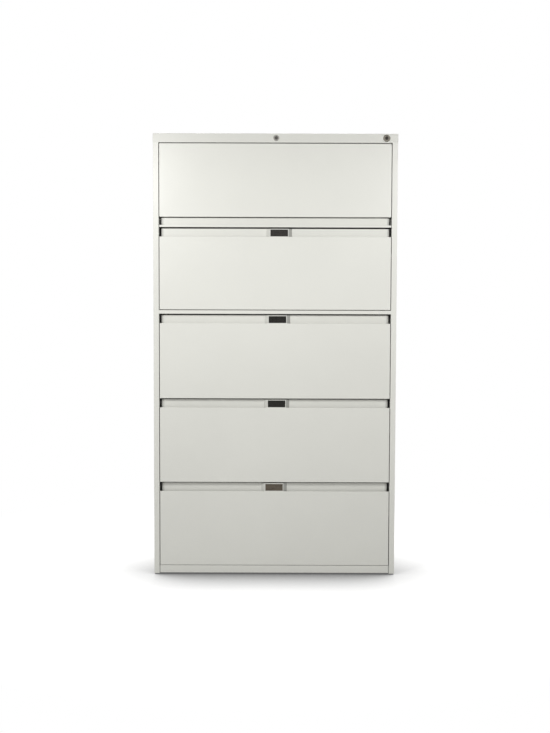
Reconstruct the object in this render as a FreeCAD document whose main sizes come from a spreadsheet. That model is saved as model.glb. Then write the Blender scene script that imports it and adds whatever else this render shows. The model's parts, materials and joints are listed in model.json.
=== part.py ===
# A five-high lateral filing cabinet of folded sheet steel.
# From the top: a cap with two locks, a compartment with a door that tilts up and slides in,
# a roll-out shelf, and four drawers on telescopic slides. Each drawer's pull is a finger
# channel behind the top edge of its face, and a sliding label holder sits in that channel.
# Frame: X to the right, Y from the front to the back, Z up. The origin is the centre of the
# footprint on the floor. All sizes are in millimetres.
import FreeCAD, Part
import os
import re
import Sketcher

SIZES = {
    # Case
    "case_width": 914.4,
    "case_depth": 457.2,
    "case_sheet": 1.2,
    "back_sheet": 1.0,
    "cap_height": 34.0,
    "cap_lip": 1.0,
    "cap_ledge": 25.0,
    "post_width": 20.2,
    "jamb_depth": 30.0,
    "rear_flange": 16.0,
    "foot_gap": 4.0,
    "cap_round": 1.8,
    "fold_round": 0.9,
    "rail_depth": 22.0,
    "base_top": 34.5,
    "base_lap": 37.0,
    "running_gap": 0.3,
    # Heights of what stacks up in the opening
    "base_gap": 1.5,
    "face_height": 283.0,
    "band_height": 30.5,
    "drawer_gap": 4.5,
    "rail_gap_below": 5.0,
    "rail_height": 13.5,
    "rail_gap_above": 2.5,
    "upper_face_height": 272.5,
    "shelf_gap": 5.0,
    "lip_height": 7.5,
    "shelf_band_height": 27.5,
    "door_gap_below": 3.0,
    "door_height": 272.0,
    "door_gap_above": 3.0,
    # Drawer and shelf fronts
    "front_sheet": 1.2,
    "face_gap": 2.5,
    "band_setback": 15.0,
    "band_notch": 7.0,
    "band_return": 12.0,
    "band_bend": 5.0,
    "channel_depth": 18.0,
    "lip_thickness": 3.0,
    "hem_height": 8.0,
    # Drawer and shelf bodies
    "pan_sheet": 1.0,
    "pan_rise": 12.0,
    "pan_height": 230.0,
    "pan_rear_gap": 26.8,
    "tray_rise": 3.0,
    "tray_height": 25.0,
    "rail_strip": 2.0,
    "rail_strip_height": 16.0,
    "front_rail_inset": 8.0,
    "folder_span": 312.0,
    # Telescopic slides
    "slide_width": 12.7,
    "slide_half_height": 22.8,
    "slide_sheet": 1.2,
    "slide_play": 0.8,
    "slide_inset": 30.0,
    "slide_rear_gap": 25.0,
    "slide_rise": 70.0,
    "shelf_slide_half_height": 15.0,
    "shelf_slide_rise": 17.0,
    # Slotted uprights
    "upright_setback": 0.6,
    "upright_width": 32.0,
    "upright_front": 48.0,
    "upright_rear": 60.0,
    "slot_width": 3.0,
    "slot_height": 14.0,
    "slot_pitch": 25.4,
    "slot_start": 30.0,
    # Door and its carriage
    "door_flange": 16.0,
    "door_sheet": 1.2,
    "door_corner": 3.0,
    "pivot_inset": 8.0,
    "pivot_drop": 10.0,
    "pivot_radius": 3.0,
    "pivot_clearance": 0.1,
    "pivot_head_radius": 4.5,
    "pivot_head_height": 1.0,
    "ear_sheet": 2.0,
    "ear_reach": 6.0,
    "bracket_foot": 26.0,
    "arm_sheet": 3.0,
    "arm_half_height": 6.0,
    "arm_length": 90.0,
    "arm_inset": 8.5,
    "arm_round": 5.4,
    "arm_clearance": 1.0,
    "stud_radius": 4.0,
    "stud_first": 48.0,
    "stud_second": 78.0,
    "tie_bar_radius": 5.0,
    "tie_bar_back": 84.0,
    "shoe_length": 50.0,
    "shoe_width": 13.0,
    "track_gap": 1.0,
    # Locks and the lock bar
    "lock_drop": 17.0,
    "door_lock_x": 3.0,
    "gang_lock_inset": 43.2,
    "lock_proud": 3.0,
    "barrel_radius": 9.5,
    "barrel_depth": 17.0,
    "plug_radius": 6.5,
    "plug_clearance": 0.1,
    "plug_recess": 0.6,
    "door_ring_radius": 11.0,
    "gang_ring_radius": 13.0,
    "ring_round": 1.2,
    "keyway_width": 2.0,
    "keyway_height": 8.5,
    "keyway_depth": 6.0,
    "cam_gap": 0.5,
    "cam_sheet": 2.5,
    "tongue_half_width": 6.0,
    "tongue_length": 27.0,
    "crank_disc": 10.0,
    "crank_radius": 7.07,
    "crank_pin_radius": 2.5,
    "crank_pin_length": 6.0,
    "bar_inset": 6.0,
    "bar_sheet": 3.0,
    "bar_standoff": 4.0,
    "bar_bottom": 40.0,
    "bar_travel": 10.0,
    "tab_height": 12.0,
    "tab_sheet": 3.0,
    "lug_rise": 200.0,
    "lug_height": 8.0,
    "lug_depth": 4.0,
    "lug_reach": 5.5,
    "lug_clearance": 1.0,
    # Label holders
    "holder_front_width": 70.0,
    "holder_base_width": 96.0,
    "holder_drop": 6.0,
    "holder_top_gap": 0.5,
    "label_width": 66.0,
    "label_height": 26.0,
    "label_rise": 1.5,
    "label_sheet": 0.9,
    "label_recess": 1.2,
    "label_margin": 0.2,
    "label_2_x": 15.0,
    "label_3_x": 9.5,
    "label_4_x": 7.0,
    "label_5_x": -1.5,
    # Floor glides, ballast and fixings
    "glide_inset_x": 57.2,
    "glide_inset_y": 48.6,
    "glide_foot_radius": 15.0,
    "glide_foot_height": 4.5,
    "glide_stem_radius": 4.9,
    "glide_stem_top": 28.0,
    "glide_clearance": 0.2,
    "boss_radius": 8.5,
    "boss_height": 10.0,
    "weight_side_gap": 85.0,
    "weight_depth": 150.0,
    "weight_height": 20.0,
    "weight_clearance": 3.0,
    "screw_head_radius": 4.5,
    "screw_head_height": 2.0,
    "screw_radius": 2.0,
    "screw_clearance": 0.1,
    "screw_end": 61.5,
}

# Places that follow from the sizes, each written once.
PLACES = {
    "front_y": "(lock_proud - screw_head_height - case_depth) / 2",
    "back_y": "front_y + case_depth",
    "inner_back_y": "back_y - case_sheet - back_sheet",
    "side_x": "case_width / 2 - cap_lip",
    "wall_x": "side_x - case_sheet",
    "opening_x": "side_x - post_width",
    "face_x": "opening_x - face_gap",
    "band_x": "opening_x - band_notch",
    "upright_x": "opening_x + upright_setback",
    "pan_x": "upright_x - slide_width",
    "pan_bottom_z": "foot_gap + case_sheet",
    "pan_top_z": "pan_bottom_z + case_sheet",
    "drawer_5_z": "base_top + base_gap",
    "drawer_pitch": "face_height + band_height + drawer_gap",
    "drawer_4_z": "drawer_5_z + drawer_pitch",
    "drawer_3_z": "drawer_4_z + drawer_pitch",
    "rail_z": "drawer_3_z + face_height + band_height + rail_gap_below",
    "drawer_2_z": "rail_z + rail_height + rail_gap_above",
    "shelf_z": "drawer_2_z + upper_face_height + band_height + shelf_gap",
    "door_z": "shelf_z + lip_height + shelf_band_height + door_gap_below",
    "header_z": "door_z + door_height + door_gap_above",
    "top_z": "header_z + cap_height",
    "band_y": "front_y + band_setback",
    "pan_front_y": "band_y + front_sheet",
    "slide_y": "front_y + slide_inset",
    "pivot_y": "front_y + pivot_inset",
    "pivot_z": "door_z + door_height - pivot_drop",
    "track_half": "door_gap_above + pivot_drop - case_sheet",
    "shoe_half": "track_half - case_sheet - running_gap",
    "shoe_x": "wall_x - case_sheet - running_gap - shoe_width",
    "arm_x": "face_x - arm_inset",
    "lock_z": "top_z - lock_drop",
    "bar_x": "opening_x + bar_standoff",
    "bar_y": "front_y + bar_inset",
    "cam_y": "front_y + barrel_depth + cam_gap",
    "crank_offset": "crank_radius * sqrt(2) / 2",
    "tab_y": "cam_y + cam_sheet + cam_gap",
    "bar_end": "tab_y + tab_sheet / 2",
    "mid_web_x": "upright_x - slide_sheet - slide_play",
    "slide_length": "inner_back_y - slide_rear_gap - slide_y",
    "pan_depth": "inner_back_y - pan_rear_gap - pan_front_y",
    "gang_lock_x": "case_width / 2 - gang_lock_inset",
    "glide_x": "case_width / 2 - glide_inset_x",
    "glide_y": "case_depth / 2 - glide_inset_y",
    "slide_tip_x": "pan_x + slide_sheet + slide_play",
    "inner_tip_x": "mid_web_x - slide_sheet - slide_play",
}

DRAWERS = ["drawer_2", "drawer_3", "drawer_4", "drawer_5"]
SCREWS_PER_SIDE = 5
SCREW_X = "side_x - rear_flange / 2"
SCREW_HEIGHTS = [f"screw_end + {index} * (header_z - 2 * screw_end) / {SCREWS_PER_SIDE - 1}"
                 for index in range(SCREWS_PER_SIDE)]

doc = FreeCAD.newDocument("filing_cabinet")
sheet = doc.addObject("Spreadsheet::Sheet", "dims")
for row, (alias, size) in enumerate(SIZES.items(), start=1):
    sheet.set(f"A{row}", alias)
    sheet.set(f"B{row}", str(size))
    sheet.setAlias(f"B{row}", alias)
doc.recompute()

NAME = re.compile(r"[a-z]+(?:_[a-z0-9]+)+")


def bind(text):
    """Point every size in a formula at its cell, and write every place out in full."""
    def written_out(match):
        name = match.group()
        if name in PLACES:
            return f"({bind(PLACES[name])})"
        return f"dims.{name}"
    return NAME.sub(written_out, str(text))


def value(text):
    """The number that a formula gives now."""
    return float(sheet.evalExpression(bind(text)))


def origin_feature(body, role):
    return next(item for item in body.Origin.OriginFeatures if item.Role == role)


def rectangle(u0, u1, v0, v1):
    return [(u0, v0), (u1, v0), (u1, v1), (u0, v1)]


def circle(u, v, radius):
    return {"centre": (u, v), "radius": radius}


def both_sides(u0, u1, v0, v1):
    """A rectangle on the right, and its reflection on the left."""
    return [rectangle(u0, u1, v0, v1), rectangle(f"-({u0})", f"-({u1})", v0, v1)]


def hold(sketch, kind, edge, point, formula):
    """Fix one coordinate of a sketch point to a formula."""
    constraint = Sketcher.Constraint(kind, -1, 1, edge, point, value(formula))
    index = sketch.addConstraint(constraint)
    sketch.setExpression(f"Constraints[{index}]", bind(formula))


def draw_loop(sketch, points):
    """A closed run of straight lines through points given by formulas."""
    first = sketch.GeometryCount
    places = [FreeCAD.Vector(value(u), value(v), 0) for u, v in points]
    count = len(points)
    for index in range(count):
        line = Part.LineSegment(places[index], places[(index + 1) % count])
        sketch.addGeometry(line, False)
    for index, (u, v) in enumerate(points):
        following = (index + 1) % count
        sketch.addConstraint(
            Sketcher.Constraint("Coincident", first + index, 2, first + following, 1))
        hold(sketch, "DistanceX", first + index, 1, u)
        hold(sketch, "DistanceY", first + index, 1, v)


def draw_circle(sketch, round_hole):
    u, v = round_hole["centre"]
    radius = round_hole["radius"]
    centre = FreeCAD.Vector(value(u), value(v), 0)
    edge = sketch.addGeometry(Part.Circle(centre, FreeCAD.Vector(0, 0, 1), value(radius)), False)
    hold(sketch, "DistanceX", edge, 3, u)
    hold(sketch, "DistanceY", edge, 3, v)
    index = sketch.addConstraint(Sketcher.Constraint("Radius", edge, value(radius)))
    sketch.setExpression(f"Constraints[{index}]", bind(radius))


# Each axis has the plane across it, and the sense of that plane's normal along the axis.
PLANES = {"x": ("YZ_Plane", 1), "y": ("XZ_Plane", -1), "z": ("XY_Plane", 1)}


def draw(body, axis, base, loops):
    """A sketch across an axis, at a place along it."""
    role, sense = PLANES[axis]
    sketch = body.newObject("Sketcher::SketchObject", "outline")
    sketch.AttachmentSupport = [(origin_feature(body, role), "")]
    sketch.MapMode = "FlatFace"
    sketch.setExpression("AttachmentOffset.Base.z", bind(f"{sense} * ({base})"))
    for loop in loops:
        if isinstance(loop, dict):
            draw_circle(sketch, loop)
        else:
            draw_loop(sketch, loop)
    return sketch


def pad(body, axis, base, length, loops):
    """Solid from base to base + length along the axis."""
    feature = body.newObject("PartDesign::Pad", "pad")
    feature.Profile = draw(body, axis, base, loops)
    feature.Reversed = PLANES[axis][1] < 0
    feature.setExpression("Length", bind(length))
    body.Tip = feature
    doc.recompute()
    return feature


def pocket(body, axis, base, length, loops):
    """Cut from base to base + length along the axis."""
    before = body.Shape.Volume
    feature = body.newObject("PartDesign::Pocket", "pocket")
    feature.Profile = draw(body, axis, base, loops)
    feature.Reversed = PLANES[axis][1] > 0
    feature.setExpression("Length", bind(length))
    body.Tip = feature
    doc.recompute()
    if body.Shape.Volume >= before:
        raise RuntimeError(f"{body.Label}: a pocket cuts nothing")
    return feature


def mirror(body):
    """The whole body so far, and its reflection across the middle of the cabinet."""
    feature = body.newObject("PartDesign::Mirrored", "mirror")
    feature.MirrorPlane = (origin_feature(body, "YZ_Plane"), [""])
    feature.TransformMode = "Whole shape"
    body.Tip = feature
    doc.recompute()


def round_edges(body, radius, chosen):
    """Round the edges for which chosen(edge) is true."""
    base = body.Tip
    names = [f"Edge{number}" for number, edge in enumerate(base.Shape.Edges, start=1)
             if chosen(edge)]
    if not names:
        raise RuntimeError(f"{body.Label}: no edge to round")
    feature = body.newObject("PartDesign::Fillet", "rounding")
    feature.Base = (base, names)
    feature.setExpression("Radius", bind(radius))
    body.Tip = feature
    doc.recompute()


def lies_at(edge, coordinate, place, slack=0.01):
    """Whether both ends of an edge have this coordinate (0, 1 or 2 for X, Y or Z)."""
    return all(abs(vertex.Point[coordinate] - place) < slack for vertex in edge.Vertexes)


def runs_along(edge, coordinate, slack=0.01):
    """Whether an edge is straight along X, Y or Z."""
    if len(edge.Vertexes) != 2:
        return False
    step = edge.Vertexes[1].Point - edge.Vertexes[0].Point
    others = [abs(step[other]) for other in (0, 1, 2) if other != coordinate]
    return max(others) < slack


nodes = []


def new_piece(label, z=None):
    """A body. Those of drawers, shelf and door are drawn from their own lower edge."""
    body = doc.addObject("PartDesign::Body", label)
    body.Label = label
    if z:
        body.setExpression("Placement.Base.z", bind(z))
    return body


def new_body(label, z=None):
    """A sub-part that is one body."""
    body = new_piece(label, z)
    nodes.append(body)
    return body


def weld(label, pieces):
    """A sub-part of several pieces that are welded together and touch face to face."""
    whole = doc.addObject("Part::Compound", label)
    whole.Label = label
    whole.Links = pieces
    doc.recompute()
    nodes.append(whole)


# Case


def make_side_panel(label, side):
    """One side: a wall sheet, with the front post, the rear flange and two ledges on it."""
    height = "header_z - foot_gap"

    def across(x):
        return f"{side} * ({x})"

    wall = new_piece(f"{label}_wall")
    pad(wall, "z", "foot_gap", height, [rectangle(
        across("wall_x"), across("side_x"), "front_y + case_sheet", "back_y - case_sheet")])
    flange = new_piece(f"{label}_flange")
    pad(flange, "z", "foot_gap", height, [rectangle(
        across("side_x - rear_flange"), across("side_x"), "back_y - case_sheet", "back_y")])
    holes = [circle(across(SCREW_X), level, "screw_radius + screw_clearance")
             for level in SCREW_HEIGHTS]
    pocket(flange, "y", "back_y - case_sheet", "case_sheet", holes)
    ledges = new_piece(f"{label}_ledges")
    plan = rectangle(across("opening_x"), across("wall_x"),
                     "front_y + jamb_depth + running_gap", "back_y - case_sheet")
    pad(ledges, "z", "foot_gap", "case_sheet", [plan])
    pad(ledges, "z", "header_z - case_sheet", "case_sheet", [plan])
    post = new_piece(f"{label}_post")
    profile = [
        (across("side_x"), "front_y"),
        (across("opening_x"), "front_y"),
        (across("opening_x"), "front_y + jamb_depth"),
        (across("opening_x + case_sheet"), "front_y + jamb_depth"),
        (across("opening_x + case_sheet"), "front_y + case_sheet"),
        (across("side_x"), "front_y + case_sheet"),
    ]
    pad(post, "z", "foot_gap", height, [profile])
    if side > 0:
        slots = []
        for drawer in DRAWERS:
            lug_z = f"{drawer}_z + lug_rise"
            slots.append(rectangle(
                "bar_y - lug_clearance",
                "bar_y + lug_depth + lug_clearance",
                f"{lug_z} - lug_height / 2 - lug_clearance",
                f"{lug_z} + lug_height / 2 + bar_travel + lug_clearance"))
        pocket(post, "x", "opening_x", "case_sheet", slots)
    low = value("front_y")
    round_edges(post, "fold_round", lambda edge: runs_along(edge, 2) and lies_at(edge, 1, low))
    weld(label, [wall, flange, ledges, post])


make_side_panel("left_side_panel", -1)
make_side_panel("right_side_panel", 1)


def screw_circles(radius):
    return [circle(f"{side} * ({SCREW_X})", height, radius)
            for height in SCREW_HEIGHTS for side in (-1, 1)]


def make_back_panel():
    """Flat sheet inside the rear flanges of the sides."""
    body = new_body("back_panel")
    panel = rectangle("-(wall_x)", "wall_x", "pan_bottom_z", "header_z - case_sheet")
    pad(body, "y", "inner_back_y", "back_sheet", [panel])
    holes = screw_circles("screw_radius + screw_clearance")
    pocket(body, "y", "inner_back_y", "back_sheet", holes)


make_back_panel()


def make_back_screws():
    """Screws that hold the back panel to the rear flanges."""
    body = new_body("back_screws")
    pad(body, "y", "back_y", "screw_head_height", screw_circles("screw_head_radius"))
    pad(body, "y", "inner_back_y", "case_sheet + back_sheet", screw_circles("screw_radius"))
    far = value("back_y + screw_head_height")
    round_edges(body, "screw_head_height / 2", lambda edge: lies_at(edge, 1, far))


make_back_screws()


def make_top_cap():
    """Lid with a deep skirt all round, and a ledge in it that rests on the sides."""
    lid = new_piece("top_cap_lid")
    outer = rectangle("-case_width / 2", "case_width / 2", "front_y", "back_y")
    inner = rectangle(
        "-case_width / 2 + case_sheet", "case_width / 2 - case_sheet",
        "front_y + case_sheet", "back_y - case_sheet")
    pad(lid, "z", "header_z", "cap_height", [outer, inner])
    pad(lid, "z", "top_z - case_sheet", "case_sheet", [outer])
    pocket(lid, "y", "front_y", "case_sheet", [
        circle("door_lock_x", "lock_z", "barrel_radius + plug_clearance"),
        circle("gang_lock_x", "lock_z", "barrel_radius + plug_clearance")])
    top = value("top_z")
    half = value("case_width / 2")
    ends = (value("front_y"), value("back_y"))

    def is_corner(edge):
        return (runs_along(edge, 2) and abs(abs(edge.Vertexes[0].X) - half) < 0.01
                and min(abs(edge.Vertexes[0].Y - end) for end in ends) < 0.01)

    round_edges(lid, "cap_round",
                lambda edge: is_corner(edge) or lies_at(edge, 2, top))
    ledge = new_piece("top_cap_ledge")
    opening = rectangle(
        "-case_width / 2 + cap_ledge", "case_width / 2 - cap_ledge",
        "front_y + cap_ledge", "back_y - cap_ledge")
    pad(ledge, "z", "header_z", "case_sheet", [inner, opening])
    tongue_slot = rectangle(
        "door_lock_x - tongue_half_width - lug_clearance", "door_lock_x + tongue_length",
        "cam_y - lug_clearance / 2", "cam_y + cam_sheet + lug_clearance")
    bar_slot = rectangle(
        "bar_x - lug_clearance", "bar_x + bar_sheet + lug_clearance",
        "bar_y - lug_clearance", "bar_end + lug_clearance")
    pocket(ledge, "z", "header_z", "case_sheet", [tongue_slot, bar_slot])
    weld("top_cap", [lid, ledge])


make_top_cap()


def make_cross_rail():
    """Fixed channel between the jambs, under the second drawer from the top."""
    body = new_body("cross_rail")
    profile = [
        ("front_y", "rail_z"),
        ("front_y + rail_depth", "rail_z"),
        ("front_y + rail_depth", "rail_z + case_sheet"),
        ("front_y + case_sheet", "rail_z + case_sheet"),
        ("front_y + case_sheet", "rail_z + rail_height - case_sheet"),
        ("front_y + rail_depth", "rail_z + rail_height - case_sheet"),
        ("front_y + rail_depth", "rail_z + rail_height"),
        ("front_y", "rail_z + rail_height"),
    ]
    pad(body, "x", "-(opening_x)", "2 * opening_x", [profile])
    low = value("front_y")
    round_edges(body, "fold_round",
                lambda edge: runs_along(edge, 0) and lies_at(edge, 1, low))


make_cross_rail()


def make_base_rail():
    """Channel between the jambs at the floor. Its lower flange laps the bottom pan."""
    body = new_body("base_rail")
    profile = [
        ("front_y", "pan_top_z"),
        ("front_y + base_lap", "pan_top_z"),
        ("front_y + base_lap", "pan_top_z + case_sheet"),
        ("front_y + case_sheet", "pan_top_z + case_sheet"),
        ("front_y + case_sheet", "base_top - case_sheet"),
        ("front_y + rail_depth", "base_top - case_sheet"),
        ("front_y + rail_depth", "base_top"),
        ("front_y", "base_top"),
    ]
    pad(body, "x", "-(opening_x)", "2 * opening_x", [profile])
    low = value("front_y")
    round_edges(body, "fold_round",
                lambda edge: runs_along(edge, 0) and lies_at(edge, 1, low))


make_base_rail()


def glide_circles(radius):
    return [circle(f"{sx} * glide_x", f"{sy} * glide_y", radius)
            for sx in (-1, 1) for sy in (-1, 1)]


def make_bottom_pan():
    """Floor of the case on the sides' lower ledges, with a threaded boss for each glide."""
    body = new_body("bottom_pan")
    floor = rectangle(
        "-(wall_x)", "wall_x", "front_y + jamb_depth + running_gap", "inner_back_y")
    pad(body, "z", "pan_bottom_z", "case_sheet", [floor])
    pad(body, "z", "pan_top_z", "boss_height", glide_circles("boss_radius"))
    pocket(body, "z", "pan_bottom_z", "case_sheet + boss_height",
           glide_circles("glide_stem_radius + glide_clearance"))


make_bottom_pan()


def make_uprights():
    """Four slotted channels against the side walls, which carry the slides."""
    body = new_body("slotted_uprights")
    foot = "pan_top_z"
    length = "pivot_z - track_half - pan_top_z"

    def channel(y):
        return [
            ("wall_x", y),
            ("upright_x", y),
            ("upright_x", f"{y} + upright_width"),
            ("wall_x", f"{y} + upright_width"),
            ("wall_x", f"{y} + upright_width - case_sheet"),
            ("upright_x + case_sheet", f"{y} + upright_width - case_sheet"),
            ("upright_x + case_sheet", f"{y} + case_sheet"),
            ("wall_x", f"{y} + case_sheet"),
        ]

    front = "front_y + upright_front"
    rear = "back_y - upright_rear"
    pad(body, "z", foot, length, [channel(front), channel(rear)])
    slots = []
    for y in (front, rear):
        middle = f"{y} + upright_width / 2"
        slots.append(rectangle(
            f"{middle} - slot_width / 2", f"{middle} + slot_width / 2",
            "slot_start", "slot_start + slot_height"))
    cut = pocket(body, "x", "upright_x", "case_sheet", slots)
    pattern = body.newObject("PartDesign::LinearPattern", "slots")
    pattern.Originals = [cut]
    pattern.Direction = (origin_feature(body, "Z_Axis"), [""])
    pattern.Mode = "Spacing"
    pattern.setExpression("Offset", bind("slot_pitch"))
    run = value(f"{length} + {foot} - slot_start - slot_height")
    pattern.Occurrences = int(run // value("slot_pitch")) + 1
    body.Tip = pattern
    doc.recompute()
    mirror(body)


make_uprights()


def slide_channel(z, half, web, tips, sheet_name):
    """C section of one slide member. The web is on one side, and the flange tips on the other."""
    turn = "-" if value(web) > value(tips) else "+"
    face = f"{web} {turn} {sheet_name}"
    return [
        (web, f"{z} + {half}"),
        (tips, f"{z} + {half}"),
        (tips, f"{z} + {half} - {sheet_name}"),
        (face, f"{z} + {half} - {sheet_name}"),
        (face, f"{z} - {half} + {sheet_name}"),
        (tips, f"{z} - {half} + {sheet_name}"),
        (tips, f"{z} - {half}"),
        (web, f"{z} - {half}"),
    ]


def make_case_members():
    """The fixed member of every slide, hung on the uprights."""
    body = new_body("case_slide_members")
    levels = [(f"{drawer}_z + slide_rise", "slide_half_height") for drawer in DRAWERS]
    levels.append(("shelf_z + shelf_slide_rise", "shelf_slide_half_height"))
    sections = [slide_channel(centre, half, "upright_x", "slide_tip_x", "slide_sheet")
                for centre, half in levels]
    pad(body, "y", "slide_y", "slide_length", sections)
    mirror(body)


make_case_members()


def make_door_tracks():
    """Channels under the upper ledges of the sides, in which the door's shoes slide."""
    body = new_body("door_tracks")
    profile = slide_channel("pivot_z", "track_half", "wall_x",
                            "opening_x + case_sheet + track_gap", "case_sheet")
    start = "front_y + jamb_depth + track_gap"
    pad(body, "y", start, f"inner_back_y - ({start})", [profile])
    mirror(body)


make_door_tracks()


def make_counterweight():
    """Steel ballast on the bottom pan at the rear, against tipping."""
    body = new_body("counterweight")
    plan = rectangle("-(wall_x - weight_side_gap)", "wall_x - weight_side_gap",
                     "inner_back_y - weight_clearance - weight_depth",
                     "inner_back_y - weight_clearance")
    pad(body, "z", "pan_top_z", "weight_height", [plan])


make_counterweight()


def make_glide(label, side_x, side_y):
    """Levelling glide: a foot on a threaded stem."""
    body = new_body(label)
    x = f"{side_x} * glide_x"
    y = f"{side_y} * glide_y"
    pad(body, "z", "0", "glide_foot_height", [circle(x, y, "glide_foot_radius")])
    pad(body, "z", "glide_foot_height", "glide_stem_top - glide_foot_height",
        [circle(x, y, "glide_stem_radius")])
    top = value("glide_foot_height")
    radius = value("glide_foot_radius")
    round_edges(body, "fold_round", lambda edge: lies_at(edge, 2, top)
                and abs(edge.BoundBox.XLength - 2 * radius) < 0.1)


make_glide("front_left_glide", -1, -1)
make_glide("front_right_glide", 1, -1)
make_glide("rear_left_glide", -1, 1)
make_glide("rear_right_glide", 1, 1)


# Roll-outs


def make_slide_members(prefix, z, rise, half):
    """The middle member and the drawer's own member of one pair of slides."""
    mid_half = f"({half} - slide_sheet - slide_play)"
    inner_half = f"({mid_half} - slide_sheet - slide_play)"
    middle = new_body(f"{prefix}_middle_slides", z)
    section = slide_channel(rise, mid_half, "mid_web_x", "slide_tip_x", "slide_sheet")
    pad(middle, "y", "slide_y", "slide_length", [section])
    mirror(middle)
    inner = new_body(f"{prefix}_inner_slides", z)
    section = slide_channel(rise, inner_half, "pan_x", "inner_tip_x", "slide_sheet")
    pad(inner, "y", "slide_y", "slide_length", [section])
    mirror(inner)


def band_profile():
    """Plan of the front wall: a sheet whose ends turn back."""
    return [
        ("-(band_x)", "band_y"),
        ("band_x", "band_y"),
        ("band_x", "band_y + band_return"),
        ("band_x - front_sheet", "band_y + band_return"),
        ("band_x - front_sheet", "band_y + front_sheet"),
        ("-(band_x - front_sheet)", "band_y + front_sheet"),
        ("-(band_x - front_sheet)", "band_y + band_return"),
        ("-(band_x)", "band_y + band_return"),
    ]


def round_band_ends(body):
    """Bend radius at both ends of the front wall, outside and inside."""
    outer = value("band_x")
    plane = value("band_y")
    round_edges(body, "band_bend", lambda edge: runs_along(edge, 2)
                and lies_at(edge, 1, plane) and abs(abs(edge.Vertexes[0].X) - outer) < 0.01)
    inner = outer - value("front_sheet")
    behind = plane + value("front_sheet")
    round_edges(body, "band_bend - front_sheet", lambda edge: runs_along(edge, 2)
                and lies_at(edge, 1, behind) and abs(abs(edge.Vertexes[0].X) - inner) < 0.01)


def make_face(prefix, z, height):
    """Drawer face: front sheet, hemmed top edge, floor of the finger channel, side flanges."""
    body = new_body(f"{prefix}_face", z)
    floor = f"{height} - channel_depth"
    profile = [
        ("front_y", "0"),
        ("band_y", "0"),
        ("band_y", "front_sheet"),
        ("front_y + front_sheet", "front_sheet"),
        ("front_y + front_sheet", f"{floor} - front_sheet"),
        ("band_y", f"{floor} - front_sheet"),
        ("band_y", floor),
        ("front_y + front_sheet", floor),
        ("front_y + front_sheet", f"{height} - hem_height"),
        ("front_y + lip_thickness", f"{height} - hem_height"),
        ("front_y + lip_thickness", height),
        ("front_y", height),
    ]
    pad(body, "x", "-(face_x)", "2 * face_x", [profile])
    pad(body, "z", "0", height,
        both_sides("face_x - front_sheet", "face_x", "front_y", "band_y"))
    catch = [
        ("bar_y - lug_clearance", "lug_rise - lug_height / 2 - lug_clearance"),
        ("band_y", "lug_rise - lug_height / 2 - lug_clearance"),
        ("band_y", "lug_rise + lug_height / 2 + lug_clearance"),
        ("bar_y + lug_depth + lug_clearance", "lug_rise + lug_height / 2 + lug_clearance"),
        ("bar_y + lug_depth + lug_clearance",
         "lug_rise + lug_height / 2 + bar_travel + lug_clearance"),
        ("bar_y - lug_clearance",
         "lug_rise + lug_height / 2 + bar_travel + lug_clearance"),
    ]
    pocket(body, "x", "face_x - front_sheet", "front_sheet", [catch])
    low = value("front_y")
    round_edges(body, "fold_round", lambda edge: lies_at(edge, 1, low))


def make_front_wall(prefix, z, height):
    """Front wall of a drawer. Its top shows above the face as the recessed band."""
    body = new_body(f"{prefix}_front_wall", z)
    wall_top = f"{height} + band_height"
    pad(body, "z", "pan_rise", f"{wall_top} - pan_rise", [band_profile()])
    round_band_ends(body)
    flange = rectangle("-(band_x - band_bend)", "band_x - band_bend",
                       "pan_front_y", "band_y + band_return")
    pad(body, "z", f"{wall_top} - front_sheet", "front_sheet", [flange])


def make_pan(label, z, rise, height):
    """Open box without a front: floor, two sides and a back."""
    body = new_body(label, z)
    end = "pan_front_y + pan_depth"
    floor = rectangle("-(pan_x)", "pan_x", "pan_front_y", end)
    pad(body, "z", rise, "pan_sheet", [floor])
    walls = [
        ("-(pan_x)", "pan_front_y"),
        ("-(pan_x - pan_sheet)", "pan_front_y"),
        ("-(pan_x - pan_sheet)", f"{end} - pan_sheet"),
        ("pan_x - pan_sheet", f"{end} - pan_sheet"),
        ("pan_x - pan_sheet", "pan_front_y"),
        ("pan_x", "pan_front_y"),
        ("pan_x", end),
        ("-(pan_x)", end),
    ]
    pad(body, "z", rise, height, [walls])


def make_hang_rails(prefix, z):
    """Two strips across the drawer, from which folders hang."""
    body = new_body(f"{prefix}_hang_rails", z)
    top = "pan_rise + pan_height"
    first = "pan_front_y + front_rail_inset"
    strips = [
        rectangle("-(pan_x - pan_sheet)", "pan_x - pan_sheet", first, f"{first} + rail_strip"),
        rectangle("-(pan_x - pan_sheet)", "pan_x - pan_sheet",
                  f"{first} + folder_span", f"{first} + folder_span + rail_strip"),
    ]
    pad(body, "z", f"{top} - rail_strip_height", "rail_strip_height", strips)


def make_label(prefix, z, height, x):
    """Label holder that slides along the finger channel, and the dark card in it."""
    holder = new_body(f"{prefix}_label_holder", z)
    near = "front_y + lip_thickness + running_gap"
    far = "band_y - running_gap"
    plan = [
        (f"{x} - holder_base_width / 2", far),
        (f"{x} - holder_front_width / 2", near),
        (f"{x} + holder_front_width / 2", near),
        (f"{x} + holder_base_width / 2", far),
    ]
    bottom = f"{height} - holder_drop"
    top = f"{height} + band_height - holder_top_gap"
    pad(holder, "z", bottom, f"{top} - ({bottom})", [plan])
    recess = rectangle(f"{x} - label_width / 2", f"{x} + label_width / 2",
                       f"{height} + label_rise", f"{height} + label_rise + label_height")
    pocket(holder, "y", near, "label_recess", [recess])
    label = new_body(f"{prefix}_label_card", z)
    card = rectangle(
        f"{x} - label_width / 2 + label_margin", f"{x} + label_width / 2 - label_margin",
        f"{height} + label_rise + label_margin",
        f"{height} + label_rise + label_height - label_margin")
    pad(label, "y", f"{near} + label_recess - label_sheet", "label_sheet", [card])


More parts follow.
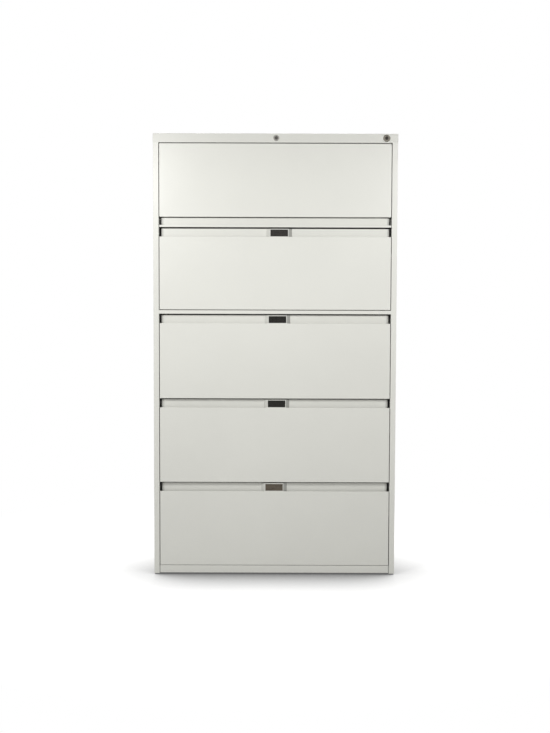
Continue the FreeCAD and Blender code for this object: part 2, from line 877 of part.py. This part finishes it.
def make_drawer(prefix, z, height, label_x):
    make_face(prefix, z, height)
    make_front_wall(prefix, z, height)
    make_pan(f"{prefix}_pan", z, "pan_rise", "pan_height")
    make_hang_rails(prefix, z)
    make_slide_members(prefix, z, "slide_rise", "slide_half_height")
    make_label(prefix, z, height, label_x)


make_drawer("drawer_2", "drawer_2_z", "upper_face_height", "label_2_x")
make_drawer("drawer_3", "drawer_3_z", "face_height", "label_3_x")
make_drawer("drawer_4", "drawer_4_z", "face_height", "label_4_x")
make_drawer("drawer_5", "drawer_5_z", "face_height", "label_5_x")


def make_shelf_front():
    """Front of the roll-out shelf: a low lip, a finger channel, and the recessed band."""
    lip = new_piece("shelf_lip", "shelf_z")
    profile = [
        ("front_y", "0"),
        ("band_y", "0"),
        ("band_y", "front_sheet"),
        ("front_y + front_sheet", "front_sheet"),
        ("front_y + front_sheet", "lip_height"),
        ("front_y", "lip_height"),
    ]
    pad(lip, "x", "-(face_x)", "2 * face_x", [profile])
    low = value("front_y")
    round_edges(lip, "fold_round",
                lambda edge: runs_along(edge, 0) and lies_at(edge, 1, low))
    wall_top = "lip_height + shelf_band_height"
    wall = new_piece("shelf_wall", "shelf_z")
    pad(wall, "z", "0", wall_top, [band_profile()])
    round_band_ends(wall)
    flange = rectangle("-(band_x - band_bend)", "band_x - band_bend",
                       "pan_front_y", "band_y + band_return")
    pad(wall, "z", f"{wall_top} - front_sheet", "front_sheet", [flange])
    weld("shelf_front", [lip, wall])


make_shelf_front()
make_pan("shelf_tray", "shelf_z", "tray_rise", "tray_height")
make_slide_members("shelf", "shelf_z", "shelf_slide_rise", "shelf_slide_half_height")


# Door


def make_door_panel():
    """Door with folded edges. Its top flange is notched where the arms pass."""
    body = new_body("door_panel", "door_z")
    outer = rectangle("-(face_x)", "face_x", "0", "door_height")
    inner = rectangle("-(face_x - door_sheet)", "face_x - door_sheet",
                      "door_sheet", "door_height - door_sheet")
    pad(body, "y", "front_y", "door_sheet", [outer])
    pad(body, "y", "front_y", "door_flange", [outer, inner])
    pocket(body, "z", "door_height - door_sheet", "door_sheet", both_sides(
        "arm_x - arm_clearance", "face_x - door_sheet", "front_y + door_sheet",
        "front_y + door_flange"))
    half = value("face_x")
    ends = (0.0, value("door_height"))
    round_edges(body, "door_corner", lambda edge: runs_along(edge, 1)
                and abs(abs(edge.Vertexes[0].X) - half) < 0.01
                and min(abs(edge.Vertexes[0].Z - end) for end in ends) < 0.01)
    low = value("front_y")
    round_edges(body, "fold_round", lambda edge: lies_at(edge, 1, low))


make_door_panel()


def make_hinge_brackets():
    """Brackets behind the door's upper corners, each with a fixed pivot pin."""
    body = new_body("door_hinge_brackets", "door_z")
    ear_x = "arm_x - running_gap - ear_sheet"
    foot_y = "front_y + door_sheet"
    top = "door_height - door_sheet - running_gap"
    ear_bottom = "door_height - pivot_drop - ear_reach"
    pad(body, "y", foot_y, "ear_sheet",
        [rectangle(f"{ear_x} + ear_sheet - bracket_foot", f"{ear_x} + ear_sheet",
                   ear_bottom, top)])
    pad(body, "x", ear_x, "ear_sheet",
        [rectangle(foot_y, "pivot_y + ear_reach", ear_bottom, top)])
    pivot = ("pivot_y", "door_height - pivot_drop")
    pad(body, "x", f"{ear_x} + ear_sheet", "running_gap + arm_sheet + running_gap",
        [circle(*pivot, "pivot_radius")])
    pad(body, "x", "arm_x + arm_sheet + running_gap", "pivot_head_height",
        [circle(*pivot, "pivot_head_radius")])
    mirror(body)


make_hinge_brackets()


def make_carriage():
    """Two arms joined by a tie bar. Studs on the arms carry the shoes."""
    body = new_body("door_carriage", "pivot_z")
    arm = [
        ("pivot_y - arm_half_height", "-arm_half_height"),
        ("pivot_y + arm_length", "-arm_half_height"),
        ("pivot_y + arm_length", "arm_half_height"),
        ("pivot_y - arm_half_height", "arm_half_height"),
    ]
    pad(body, "x", "arm_x", "arm_sheet", [arm])
    near = value("pivot_y - arm_half_height")
    round_edges(body, "arm_round",
                lambda edge: runs_along(edge, 0) and lies_at(edge, 1, near))
    pocket(body, "x", "arm_x", "arm_sheet",
           [circle("pivot_y", "0", "pivot_radius + pivot_clearance")])
    pad(body, "x", "arm_x + arm_sheet", "shoe_x - arm_x - arm_sheet",
        [circle("pivot_y + stud_first", "0", "stud_radius"),
         circle("pivot_y + stud_second", "0", "stud_radius")])
    pad(body, "x", "0", "arm_x", [circle("pivot_y + tie_bar_back", "0", "tie_bar_radius")])
    mirror(body)


make_carriage()


def make_shoes():
    """Plastic shoes that slide in the tracks."""
    body = new_body("door_shoes", "pivot_z")
    middle = "pivot_y + (stud_first + stud_second) / 2"
    pad(body, "x", "shoe_x", "shoe_width",
        [rectangle(f"{middle} - shoe_length / 2", f"{middle} + shoe_length / 2",
                   "-(shoe_half)", "shoe_half")])
    mirror(body)


make_shoes()


# Locks


def make_lock_housings():
    """The barrels of both locks, each with a ring on the face of the cap."""
    body = new_body("lock_housings")
    locks = [("door_lock_x", "door_ring_radius"), ("gang_lock_x", "gang_ring_radius")]
    pad(body, "y", "front_y - lock_proud", "lock_proud",
        [circle(x, "lock_z", ring) for x, ring in locks])
    pad(body, "y", "front_y", "barrel_depth",
        [circle(x, "lock_z", "barrel_radius") for x, ring in locks])
    low = value("front_y - lock_proud")
    round_edges(body, "ring_round", lambda edge: lies_at(edge, 1, low))
    pocket(body, "y", "front_y - lock_proud", "lock_proud + barrel_depth",
           [circle(x, "lock_z", "plug_radius + plug_clearance") for x, ring in locks])


make_lock_housings()


def make_lock_core(label, x):
    """Turning plug with a keyway."""
    body = new_body(label)
    start = "front_y - lock_proud + plug_recess"
    pad(body, "y", start, f"cam_y - ({start})", [circle(x, "lock_z", "plug_radius")])
    pocket(body, "y", start, "keyway_depth",
           [rectangle(f"{x} - keyway_width / 2", f"{x} + keyway_width / 2",
                      "lock_z - keyway_height / 2", "lock_z + keyway_height / 2")])
    return body


door_core = make_lock_core("door_lock_core", "door_lock_x")
pad(door_core, "y", "cam_y", "cam_sheet",
    [rectangle("door_lock_x - tongue_half_width", "door_lock_x + tongue_length",
               "lock_z - tongue_half_width", "lock_z + tongue_half_width")])

gang_core = make_lock_core("gang_lock_core", "gang_lock_x")
pad(gang_core, "y", "cam_y", "cam_sheet", [circle("gang_lock_x", "lock_z", "crank_disc")])
pad(gang_core, "y", "cam_y + cam_sheet", "crank_pin_length",
    [circle("gang_lock_x - crank_offset", "lock_z - crank_offset", "crank_pin_radius")])


def make_lock_bar():
    """Strip in the right post, with a tab for the lock's crank and a lug for each drawer."""
    tab_z = "lock_z - crank_offset"
    slot_half = "(crank_pin_radius + running_gap)"
    strip = new_piece("lock_bar_strip")
    pad(strip, "z", "bar_bottom", f"{tab_z} + tab_height / 2 - bar_bottom",
        [rectangle("bar_x", "bar_x + bar_sheet", "bar_y", "bar_end")])
    tab = new_piece("lock_bar_tab")
    tab_tip = "gang_lock_x - crank_radius - crank_pin_radius - tab_height / 2"
    pad(tab, "y", "tab_y", "tab_sheet",
        [rectangle(tab_tip, "bar_x", f"{tab_z} - tab_height / 2", f"{tab_z} + tab_height / 2")])
    pocket(tab, "y", "tab_y", "tab_sheet",
           [rectangle(f"gang_lock_x - crank_radius - {slot_half} - running_gap",
                      f"gang_lock_x - crank_offset + {slot_half} + running_gap",
                      f"{tab_z} - {slot_half}", f"{tab_z} + {slot_half}")])
    lugs = new_piece("lock_bar_lugs")
    for drawer in DRAWERS:
        pad(lugs, "z", f"{drawer}_z + lug_rise - lug_height / 2", "lug_height",
            [rectangle("opening_x - lug_reach", "bar_x", "bar_y", "bar_y + lug_depth")])
    weld("lock_bar", [strip, tab, lugs])


make_lock_bar()


def check_and_write():
    """Stop on anything that failed, then write one file per sub-part."""
    doc.recompute()
    for item in doc.Objects:
        if "Invalid" in item.State or "Error" in item.State:
            raise RuntimeError(f"{item.Label}: {item.State}")
    for node in nodes:
        if node.Shape.isNull() or not node.Shape.isValid():
            raise RuntimeError(f"{node.Label}: no valid shape")
    os.makedirs("parts", exist_ok=True)
    for node in nodes:
        node.Shape.exportStep(f"parts/{node.Label}.step")
    print(f"{len(nodes)} sub-parts written")


check_and_write()
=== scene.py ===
import json
import math

import bpy
from mathutils import Matrix, Vector


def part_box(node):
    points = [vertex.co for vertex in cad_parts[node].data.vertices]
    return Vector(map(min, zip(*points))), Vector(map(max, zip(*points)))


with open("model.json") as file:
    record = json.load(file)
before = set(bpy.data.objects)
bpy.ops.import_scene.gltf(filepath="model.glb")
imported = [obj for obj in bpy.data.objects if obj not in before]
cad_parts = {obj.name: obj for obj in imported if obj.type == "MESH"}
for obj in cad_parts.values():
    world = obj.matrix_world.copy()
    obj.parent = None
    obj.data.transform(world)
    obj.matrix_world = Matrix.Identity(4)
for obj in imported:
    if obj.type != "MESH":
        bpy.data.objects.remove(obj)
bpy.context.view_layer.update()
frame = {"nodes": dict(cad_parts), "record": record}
NODES = frame["nodes"]
MM = 0.001

# The photograph's frame, and where its camera stood.
PHOTO_HEIGHT = 733
SENSOR = 36.0
FOCAL_PIXELS = 1063.8
CAMERA_DISTANCE = 4.0
CAMERA_HEIGHT = 1.0230
CAMERA_SIDE = 0.0007
TILT_DOWN = math.radians(3.29)
ROLL = math.radians(0.17)

# Painted soft contact shadow where the cabinet meets the floor, leaned forward as if lit from
# behind.
CONTACT_REACH = 0.33
CONTACT_DARKEST = 0.30
CONTACT_LEAST = 0.03
CONTACT_CURVE = 0.52
CONTACT_FADE = (-0.17, 0.10)
CONTACT_BACK = 0.1
CONTACT_TILT = math.radians(35.0)

# The floor's own shade, what it adds where it is seen, and where it turns plain white.
FLOOR_SHADE = 0.55
FLOOR_LIFT = 0.74
FLOOR_NEAR = 0.9
FLOOR_FAR = 1.6
FLOOR_HALF = 30.0
SKY = 0.415

# Softboxes: name, place, what they face, width, height and power.
LAMPS = (
    ("key", (-0.8, -1.4, 1.6), (0.0, -0.2, 0.2), 0.4, 0.4, 10.6),
    ("fill", (0.8, -1.4, 1.6), (0.0, -0.2, 0.2), 0.4, 0.4, 5.2),
    ("left", (-1.2, -1.6, 1.3), (0.0, -0.2, 1.0), 0.4, 0.6, 1.7),
    ("right", (1.2, -1.6, 1.3), (0.0, -0.2, 1.0), 0.4, 0.6, 3.3),
    ("glow", (0.40, -1.7, 1.25), (0.3, -0.2, 1.15), 0.3, 0.5, 0.7),
    ("behind", (0.0, 2.2, 2.8), (0.0, 0.1, 1.2), 1.5, 1.0, 35.0),
)

# How strongly the paint is rubbed through along its edges.
RUB = 0.25


class Graph:
    """A principled material, and short ways to add nodes to it."""

    def __init__(self, name, colour, roughness, metallic=0.0, ior=1.5):
        self.material = bpy.data.materials.new(name)
        self.material.use_nodes = True
        self.tree = self.material.node_tree
        self.shader = self.tree.nodes["Principled BSDF"]
        self.shader.inputs["Base Color"].default_value = (*colour, 1.0)
        self.shader.inputs["Roughness"].default_value = roughness
        self.shader.inputs["Metallic"].default_value = metallic
        self.shader.inputs["IOR"].default_value = ior
        self.place = self.add("ShaderNodeTexCoord").outputs["Object"]

    def add(self, kind, **settings):
        node = self.tree.nodes.new(kind)
        for name, setting in settings.items():
            setattr(node, name, setting)
        return node

    def link(self, source, target):
        self.tree.links.new(source, target)

    def feed(self, node, name, source):
        """Set an input to a number or colour, or link it to a socket."""
        socket = node.inputs[name]
        if isinstance(source, bpy.types.NodeSocket):
            self.link(source, socket)
        else:
            socket.default_value = source

    def stretched(self, stretch):
        mapping = self.add("ShaderNodeMapping")
        self.link(self.place, mapping.inputs["Vector"])
        mapping.inputs["Scale"].default_value = stretch
        return mapping.outputs["Vector"]

    def noise(self, size, detail=2.0, stretch=(1.0, 1.0, 1.0)):
        """Cloudy noise from 0 to 1, with features of about this size in metres."""
        node = self.add("ShaderNodeTexNoise")
        self.link(self.stretched(stretch), node.inputs["Vector"])
        node.inputs["Scale"].default_value = 1.0 / size
        node.inputs["Detail"].default_value = detail
        return node.outputs["Fac"]

    def cells(self, size):
        """A steady random number for each grain of about this size."""
        node = self.add("ShaderNodeTexVoronoi")
        self.link(self.place, node.inputs["Vector"])
        node.inputs["Scale"].default_value = 1.0 / size
        return node.outputs["Color"]

    def math(self, operation, first, second=0.0):
        node = self.add("ShaderNodeMath", operation=operation)
        self.feed(node, 0, first)
        self.feed(node, 1, second)
        return node.outputs["Value"]

    def spread(self, source, low, high, start=0.3, end=0.7):
        """Map start..end of a number to low..high."""
        node = self.add("ShaderNodeMapRange", clamp=True)
        for name, number in (("Value", source), ("From Min", start), ("From Max", end),
                             ("To Min", low), ("To Max", high)):
            self.feed(node, name, number)
        return node.outputs["Result"]

    def blend(self, factor, first, second):
        """Mix two colours, each a triple or a socket."""
        node = self.add("ShaderNodeMix", data_type="RGBA")
        self.feed(node, 0, factor)
        for index, colour in ((6, first), (7, second)):
            if not isinstance(colour, bpy.types.NodeSocket):
                colour = (*colour, 1.0)
            self.feed(node, index, colour)
        return node.outputs[2]

    def edges(self, radius):
        """1 along convex and concave edges, 0 on the flat."""
        bevel = self.add("ShaderNodeBevel", samples=4)
        bevel.inputs["Radius"].default_value = radius
        compare = self.add("ShaderNodeVectorMath", operation="DOT_PRODUCT")
        self.link(bevel.outputs["Normal"], compare.inputs[0])
        self.link(self.add("ShaderNodeNewGeometry").outputs["Normal"], compare.inputs[1])
        return self.spread(compare.outputs["Value"], 1.0, 0.0, 0.80, 0.995)

    def crevice_shade(self, colour, reach, darkest):
        """Paint shade into a colour in narrow gaps and deep corners, where little light gets in.
        """
        nearby = self.add("ShaderNodeAmbientOcclusion", samples=8)
        nearby.inputs["Distance"].default_value = reach
        light = self.spread(nearby.outputs["AO"], darkest, 1.0, 0.05, 0.45)
        return self.blend(light, (0.0, 0.0, 0.0), colour)

    def along(self, axis, source=None):
        """One coordinate of the place on the object, or of another vector."""
        parts = self.add("ShaderNodeSeparateXYZ")
        self.link(source or self.place, parts.inputs["Vector"])
        return parts.outputs[axis]

    def shaded_ends(self, colour, half, width, darkest, behind):
        """Paint shade into a colour over this width at both ends of a long piece, behind this
        depth.
        """
        out = self.math("ABSOLUTE", self.along("X"))
        end = self.spread(out, 0.0, 1.0 - darkest, half - width, half)
        deep = self.math("GREATER_THAN", self.along("Y"), behind)
        return self.blend(self.math("MULTIPLY", end, deep), colour, (0.0, 0.0, 0.0))

    def colour(self, source):
        self.link(source, self.shader.inputs["Base Color"])

    def roughness(self, source):
        self.link(source, self.shader.inputs["Roughness"])

    def bumps(self, *heights):
        """Relief from pairs of a 0 to 1 height and its depth in metres."""
        normal = None
        for height, depth in heights:
            node = self.add("ShaderNodeBump")
            node.inputs["Distance"].default_value = depth
            self.link(height, node.inputs["Height"])
            if normal:
                self.link(normal, node.inputs["Normal"])
            normal = node.outputs["Normal"]
        self.link(normal, self.shader.inputs["Normal"])


def powder_coat(name, colour, ends=None):
    """Satin powder coat: orange peel, faint clouding, rubbed edges, painted shade in crevices
    and, when given, painted shade at both ends.
    """
    graph = Graph(name, colour, 0.30)
    shade = tuple(channel * 0.965 for channel in colour)
    cloudy = graph.blend(graph.spread(graph.noise(0.35, 3.0), 0.0, 1.0), colour, shade)
    specks = graph.spread(graph.noise(0.0035, 1.0), 0.0, 0.05, 0.62, 0.75)
    speckled = graph.blend(specks, cloudy, (0.35, 0.34, 0.31))
    patchy = graph.spread(graph.noise(0.012, 4.0), 0.0, RUB, 0.45, 0.62)
    worn = graph.math("MULTIPLY", graph.edges(1.2 * MM), patchy)
    rubbed = graph.blend(worn, speckled, (0.50, 0.50, 0.48))
    # Painted shade in narrow gaps and deep corners.
    coat = graph.crevice_shade(rubbed, 30 * MM, 0.35)
    # Painted shade at both ends of the piece, when given.
    if ends:
        coat = graph.shaded_ends(coat, *ends)
    graph.colour(coat)
    graph.roughness(graph.spread(graph.noise(0.06, 4.0), 0.28, 0.35))
    graph.bumps((graph.noise(1.3 * MM, 1.0), 0.012 * MM), (graph.noise(0.25, 1.0), 0.25 * MM))
    return graph.material


def galvanised(name, colour):
    """Zinc-dipped sheet with its crystal spangle, and painted shade in crevices."""
    graph = Graph(name, colour, 0.42, metallic=1.0)
    spangle = graph.cells(9 * MM)
    bright = tuple(min(1.0, channel * 1.25) for channel in colour)
    dull = tuple(channel * 0.80 for channel in colour)
    grain = graph.blend(spangle, dull, bright)
    zinc = graph.blend(graph.spread(graph.noise(0.05, 4.0), 0.0, 0.5), grain, colour)
    # Painted shade in narrow gaps and deep corners.
    graph.colour(graph.crevice_shade(zinc, 60 * MM, 0.15))
    graph.roughness(graph.spread(spangle, 0.36, 0.52, 0.0, 1.0))
    graph.bumps((graph.noise(2.0 * MM, 2.0), 0.02 * MM))
    return graph.material


def plated(name, colour, roughness, stretch):
    """Rolled and plated strip, with fine lines along its length, and painted shade in crevices.
    """
    graph = Graph(name, colour, roughness, metallic=1.0)
    lines = graph.noise(0.6 * MM, 2.0, stretch)
    stain = graph.noise(0.03, 3.0)
    warm = (colour[0] * 0.93, colour[1] * 0.90, colour[2] * 0.80)
    strip = graph.blend(graph.spread(stain, 0.0, 0.7), colour, warm)
    # Painted shade in narrow gaps and deep corners.
    graph.colour(graph.crevice_shade(strip, 60 * MM, 0.15))
    graph.roughness(graph.spread(lines, roughness - 0.06, roughness + 0.08))
    graph.bumps((lines, 0.01 * MM))
    return graph.material


def cast_primer(name, colour):
    """Rough primer on ballast, chipped to bare iron at the edges."""
    graph = Graph(name, colour, 0.75)
    chips = graph.math("MULTIPLY", graph.edges(2.5 * MM),
                       graph.spread(graph.noise(0.006, 4.0), 0.0, 1.0, 0.5, 0.6))
    graph.colour(graph.blend(chips, colour, (0.22, 0.18, 0.15)))
    graph.roughness(graph.spread(graph.noise(0.01, 4.0), 0.60, 0.85))
    graph.bumps((graph.noise(2.5 * MM, 3.0), 0.25 * MM))
    return graph.material


def moulded(name, colour, roughness, grain_depth, right_shade=0.0):
    """Moulded plastic with a fine grain and lighter edges, and painted shade on faces turned to
    the right.
    """
    graph = Graph(name, colour, roughness, ior=1.49)
    darker = tuple(channel * 0.93 for channel in colour)
    cloudy = graph.blend(graph.spread(graph.noise(0.02, 3.0), 0.0, 1.0), colour, darker)
    lighter = tuple(min(1.0, channel * 1.15 + 0.01) for channel in colour)
    # Edges are painted a little lighter.
    lightened_edges = graph.blend(graph.math("MULTIPLY", graph.edges(0.5 * MM), 0.35), cloudy, lighter)
    # Faces turned to the right get painted shade, as if lit from the left.
    facing = graph.along("X", graph.add("ShaderNodeNewGeometry").outputs["Normal"])
    shaded_tone = tuple(channel * 0.58 for channel in colour)
    graph.colour(graph.blend(graph.spread(facing, 0.0, right_shade, 0.15, 0.35), lightened_edges, shaded_tone))
    graph.roughness(graph.spread(graph.noise(0.004, 3.0), roughness - 0.05, roughness + 0.07))
    graph.bumps((graph.noise(0.5 * MM, 2.0), grain_depth))
    return graph.material


def label_film(name, colour, shine):
    """Dark label behind a thin film with faint ripples."""
    graph = Graph(name, colour, 0.22)
    streak_tone = tuple(channel * 0.7 for channel in colour)
    ripple = graph.noise(0.012, 2.0, (0.35, 1.0, 2.5))
    # The colour is streaked darker along the ripples.
    graph.colour(graph.blend(graph.spread(ripple, 0.0, 1.0), colour, streak_tone))
    graph.roughness(graph.spread(graph.noise(0.004, 3.0), 0.20, 0.34))
    graph.shader.inputs["Specular IOR Level"].default_value = shine
    graph.bumps((ripple, 0.06 * MM))
    return graph.material


def lock_plate(name, colour, darker_right):
    """Dull plate on die casting, scratched, dark along its edges and darker towards the right."""
    graph = Graph(name, colour, 0.30, metallic=1.0)
    scratches = graph.noise(0.9 * MM, 4.0, (1.0, 1.0, 0.2))
    dirt = graph.math("MULTIPLY", graph.edges(0.8 * MM), graph.noise(0.002, 3.0))
    # The plate is darker towards the right.
    plate = graph.blend(graph.spread(graph.along("X"), 0.0, 1.0, 0.1, 0.3), colour, darker_right)
    scuffed = graph.blend(graph.spread(scratches, 0.0, 0.5), plate, (0.05, 0.045, 0.04))
    graph.colour(graph.blend(dirt, scuffed, (0.02, 0.018, 0.016)))
    graph.roughness(graph.spread(scratches, 0.22, 0.45))
    graph.bumps((scratches, 0.02 * MM))
    return graph.material


PAINT = (0.765, 0.765, 0.712)
# The top cap takes a copy of the paint a little darker than the rest.
CAP_PAINT = tuple(0.935 * channel for channel in PAINT)
ZINC = (0.62, 0.62, 0.60)
ALONG_Y = (1.0, 0.02, 1.0)
MATERIALS = {
    "case_paint": powder_coat("case_paint", PAINT),
    "bare_steel": galvanised("bare_steel", (0.52, 0.53, 0.53)),
    "zinc_plate": plated("zinc_plate", ZINC, 0.32, ALONG_Y),
    "ballast_black": cast_primer("ballast_black", (0.030, 0.030, 0.032)),
    "lock_metal": lock_plate("lock_metal", (0.40, 0.39, 0.36), (0.150, 0.140, 0.118)),
    "nylon": moulded("nylon", (0.78, 0.76, 0.70), 0.45, 0.01 * MM),
    "foot_plastic": moulded("foot_plastic", (0.022, 0.022, 0.022), 0.50, 0.03 * MM),
    # The label holders take the full painted shade on their right-facing faces.
    "holder_plastic": moulded("holder_plastic", (0.72, 0.72, 0.67), 0.42, 0.01 * MM, 1.0),
    "label_dark": label_film("label_dark", (0.016, 0.015, 0.012), 0.2),
}
FRONT_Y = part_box("top_cap")[0].y
# Painted shade over the last 12 mm at each end of the pull bands, behind the front.
PULL_END_SHADE = (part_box("drawer_3_front_wall")[1].x, 12 * MM, 0.35, FRONT_Y + 5 * MM)
# Painted shade as a thin dark line at each end of the base rail, beside the posts.
BASE_END_SHADE = (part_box("base_rail")[1].x, 4 * MM, 0.10, FRONT_Y - 5 * MM)
PLUG = lock_plate("lock_plug", (0.130, 0.124, 0.114), (0.032, 0.030, 0.026))
PULL = powder_coat("pull_paint_end_shade", PAINT, PULL_END_SHADE)
SPECIAL = {
    "shelf_front": PULL,
    "drawer_2_front_wall": PULL,
    "drawer_3_front_wall": PULL,
    "drawer_4_front_wall": PULL,
    "drawer_5_front_wall": PULL,
    "top_cap": powder_coat("cap_paint", CAP_PAINT),
    "base_rail": powder_coat("base_paint_end_shade", PAINT, BASE_END_SHADE),
    "door_lock_core": PLUG,
    "gang_lock_core": PLUG,
    "drawer_2_label_card": label_film("card_2", (0.026, 0.024, 0.020), 0.25),
    # Drawer 5's card is painted a lighter brown, a painted reflection in its glossy film.
    "drawer_5_label_card": label_film("card_5_painted_reflection", (0.105, 0.085, 0.060), 0.35),
}


def dress_nodes():
    """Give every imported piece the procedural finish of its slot, or one of its own."""
    for entry in frame["record"]["subparts"]:
        node = NODES[entry["node"]]
        finish = SPECIAL.get(entry["node"], MATERIALS[entry["material_slot"]])
        for slot in node.material_slots:
            slot.material = finish


dress_nodes()


def aim(thing, target, roll=0.0):
    """Turn a camera or lamp to face a point."""
    look = (target - thing.location).to_track_quat("-Z", "Y")
    thing.rotation_mode = "QUATERNION"
    thing.rotation_quaternion = look @ Matrix.Rotation(roll, 4, "Z").to_quaternion()


def add_camera():
    data = bpy.data.cameras.new("camera")
    data.sensor_width = SENSOR
    data.lens = FOCAL_PIXELS * SENSOR / PHOTO_HEIGHT
    camera = bpy.data.objects.new("camera", data)
    bpy.context.scene.collection.objects.link(camera)
    camera.location = (CAMERA_SIDE, FRONT_Y - CAMERA_DISTANCE, CAMERA_HEIGHT)
    ahead = Vector((0.0, math.cos(TILT_DOWN), -math.sin(TILT_DOWN)))
    aim(camera, camera.location + ahead, ROLL)
    bpy.context.scene.camera = camera


def add_softbox(name, place, target, width, height, power):
    data = bpy.data.lights.new(name, "AREA")
    data.shape = "RECTANGLE"
    data.size = width
    data.size_y = height
    data.energy = power
    lamp = bpy.data.objects.new(name, data)
    bpy.context.scene.collection.objects.link(lamp)
    lamp.location = place
    aim(lamp, Vector(target))


def seen_directly(tree):
    """1 for rays from the camera and for mirrored or transmitted ones."""
    path = tree.nodes.new("ShaderNodeLightPath")
    total = path.outputs["Is Camera Ray"]
    for name in ("Is Glossy Ray", "Is Transmission Ray"):
        node = tree.nodes.new("ShaderNodeMath")
        node.operation = "MAXIMUM"
        tree.links.new(total, node.inputs[0])
        tree.links.new(path.outputs[name], node.inputs[1])
        total = node.outputs["Value"]
    return total


def add_world():
    """A soft grey sky for light, white where it is seen."""
    world = bpy.data.worlds.new("studio")
    world.use_nodes = True
    tree = world.node_tree
    light = tree.nodes["Background"]
    light.inputs["Color"].default_value = (1.0, 0.995, 0.985, 1.0)
    light.inputs["Strength"].default_value = SKY
    white = tree.nodes.new("ShaderNodeBackground")
    white.inputs["Color"].default_value = (1.0, 1.0, 1.0, 1.0)
    white.inputs["Strength"].default_value = 1.0
    either = tree.nodes.new("ShaderNodeMixShader")
    tree.links.new(seen_directly(tree), either.inputs["Fac"])
    tree.links.new(light.outputs["Background"], either.inputs[1])
    tree.links.new(white.outputs["Background"], either.inputs[2])
    tree.links.new(either.outputs["Shader"], tree.nodes["World Output"].inputs["Surface"])
    bpy.context.scene.world = world


def add_floor():
    """A pale floor with real shading and a painted contact shadow near the object, and plain
    white further off.
    """
    mesh = bpy.data.meshes.new("floor")
    signs = ((-1, -1), (1, -1), (1, 1), (-1, 1))
    corners = [(FLOOR_HALF * x, FLOOR_HALF * y, 0.0) for x, y in signs]
    mesh.from_pydata(corners, [], [(0, 1, 2, 3)])
    floor = bpy.data.objects.new("floor", mesh)
    bpy.context.scene.collection.objects.link(floor)
    graph = Graph("floor", (FLOOR_SHADE, FLOOR_SHADE, FLOOR_SHADE), 0.9)
    graph.shader.inputs["Specular IOR Level"].default_value = 0.0
    length = graph.add("ShaderNodeVectorMath", operation="LENGTH")
    graph.link(graph.place, length.inputs[0])
    away = graph.spread(length.outputs["Value"], 0.0, 1.0, FLOOR_NEAR, FLOOR_FAR)
    seen = seen_directly(graph.tree)
    graph.shader.inputs["Emission Color"].default_value = (1.0, 1.0, 1.0, 1.0)
    graph.link(graph.math("MULTIPLY", seen, FLOOR_LIFT), graph.shader.inputs["Emission Strength"])
    # Painted contact shadow: where the camera sees the floor, it is darkened by occlusion from
    # the object.
    nearby = graph.add("ShaderNodeAmbientOcclusion", samples=48)
    nearby.inputs["Distance"].default_value = CONTACT_REACH
    contact_axis = graph.add("ShaderNodeCombineXYZ")
    contact_axis.inputs["Y"].default_value = math.sin(CONTACT_TILT)
    contact_axis.inputs["Z"].default_value = math.cos(CONTACT_TILT)
    graph.link(contact_axis.outputs["Vector"], nearby.inputs["Normal"])
    open_sky = graph.spread(nearby.outputs["AO"], CONTACT_LEAST, 1.0, CONTACT_DARKEST, 1.0)
    contact = graph.math("SUBTRACT", 1.0, graph.math("POWER", open_sky, CONTACT_CURVE))
    toward_back = graph.spread(graph.along("Y"), 1.0, CONTACT_BACK, *CONTACT_FADE)
    contact = graph.math("MULTIPLY", contact, toward_back)
    black = graph.add("ShaderNodeEmission")
    black.inputs["Strength"].default_value = 0.0
    shaded = graph.add("ShaderNodeMixShader")
    graph.link(graph.math("MULTIPLY", seen, contact), shaded.inputs["Fac"])
    graph.link(graph.shader.outputs["BSDF"], shaded.inputs[1])
    graph.link(black.outputs["Emission"], shaded.inputs[2])
    white = graph.add("ShaderNodeEmission")
    either = graph.add("ShaderNodeMixShader")
    graph.link(graph.math("MULTIPLY", seen, away), either.inputs["Fac"])
    graph.link(shaded.outputs["Shader"], either.inputs[1])
    graph.link(white.outputs["Emission"], either.inputs[2])
    graph.link(either.outputs["Shader"], graph.tree.nodes["Material Output"].inputs["Surface"])
    mesh.materials.append(graph.material)


add_camera()
add_world()
add_floor()
for lamp in LAMPS:
    add_softbox(*lamp)

bpy.context.scene.view_settings.view_transform = "Standard"
